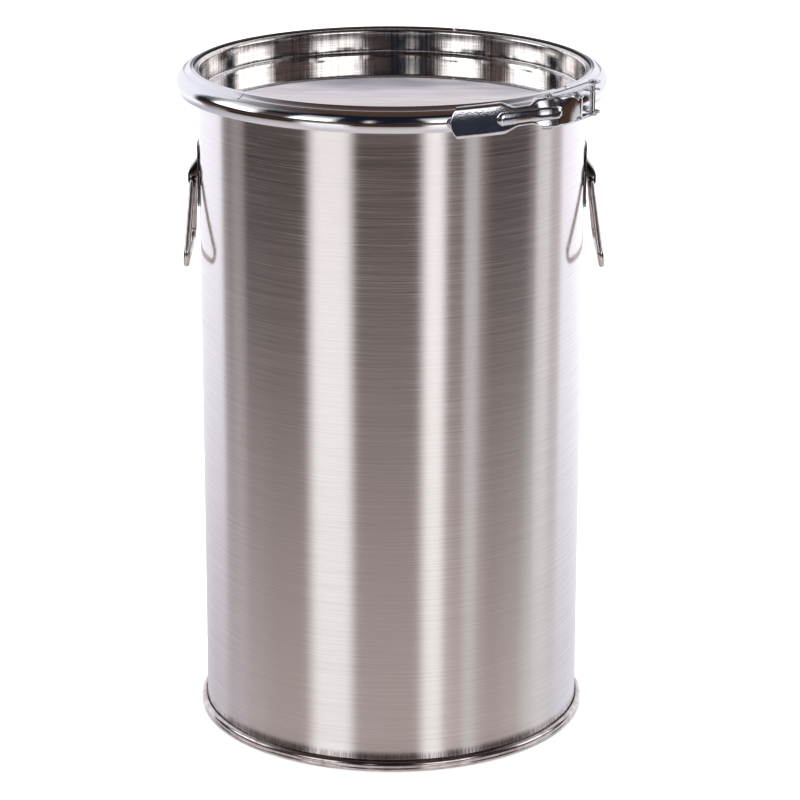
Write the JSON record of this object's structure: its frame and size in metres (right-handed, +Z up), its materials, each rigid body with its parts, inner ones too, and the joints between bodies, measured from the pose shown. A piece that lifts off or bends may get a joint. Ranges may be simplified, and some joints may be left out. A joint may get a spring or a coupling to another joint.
{
  "type": "milk transport can",
  "caption": "Straight-sided stainless transport can with a recessed plug lid, a split clamp ring closed by an over-centre lever, drop handles and a seamed base.",
  "frame": {"origin": "centre of the base, on the plane that the can stands on", "axes": "+Z up along the can's axis, -Y towards the front, +X to the right; the latch is at the front right and the drop handles are at +X and -X"},
  "size_m": [0.378, 0.3781, 0.6014],
  "materials": {
    "brushed_body": "finely brushed round the can, satin",
    "lid_steel": "near mirror with faint brushing",
    "handle_steel": "polished",
    "ring_chrome": "bright plated, a slight orange peel on the lever",
    "seal_rubber": "matte"
  },
  "bodies": {
    "can": {"body_shell": "brushed_body", "base_pan": "brushed_body", "seam_seal": "seal_rubber", "left_handle_plate": "handle_steel", "right_handle_plate": "handle_steel"},
    "left_bail": {"left_bail": "handle_steel"},
    "right_bail": {"right_bail": "handle_steel"},
    "lid": {"lid_pan": "lid_steel", "lid_gasket": "seal_rubber"},
    "ring": {"clamp_ring": "ring_chrome", "ring_gap_bridge": "ring_chrome", "lever_bracket": "ring_chrome", "catch_bracket": "ring_chrome", "lever_pivot_pin": "ring_chrome"},
    "lever": {"closing_lever": "ring_chrome"},
    "link": {"link_plate_upper": "ring_chrome", "link_plate_lower": "ring_chrome", "link_rivet": "ring_chrome", "link_end_pin": "ring_chrome"}
  },
  "joints": [
    {"name": "left_bail_swing", "type": "hinge", "parent": "can", "child": "left_bail", "pos_m": [-0.1753, 0, 0.493], "axis": [0, 1, 0], "range_deg": [-5.5, 166]},
    {"name": "right_bail_swing", "type": "hinge", "parent": "can", "child": "right_bail", "pos_m": [0.1753, 0, 0.493], "axis": [0, -1, 0], "range_deg": [-9, 162]},
    {"name": "lid_lift", "type": "slide", "parent": "can", "child": "lid", "axis": [0, 0, 1], "range_m": [0, 0.12], "deforming": ["clamp_ring"]},
    {"name": "ring_lift", "type": "slide", "parent": "lid", "child": "ring", "axis": [0, 0, 1], "range_m": [0, 0.06], "deforming": ["clamp_ring"]},
    {"name": "lever_swing", "type": "hinge", "parent": "ring", "child": "lever", "pos_m": [0.15542, -0.12903, 0.5857], "axis": [0, 0, 1], "range_deg": [0, 150]},
    {"name": "link_fold", "type": "hinge", "parent": "lever", "child": "link", "pos_m": [0.12982, -0.14725, 0.5857], "axis": [0, 0, 1], "range_deg": [-150, 0]}
  ],
  "couplings": [
    {"joint": "link_fold", "follows": "lever_swing", "ratio": -1}
  ]
}
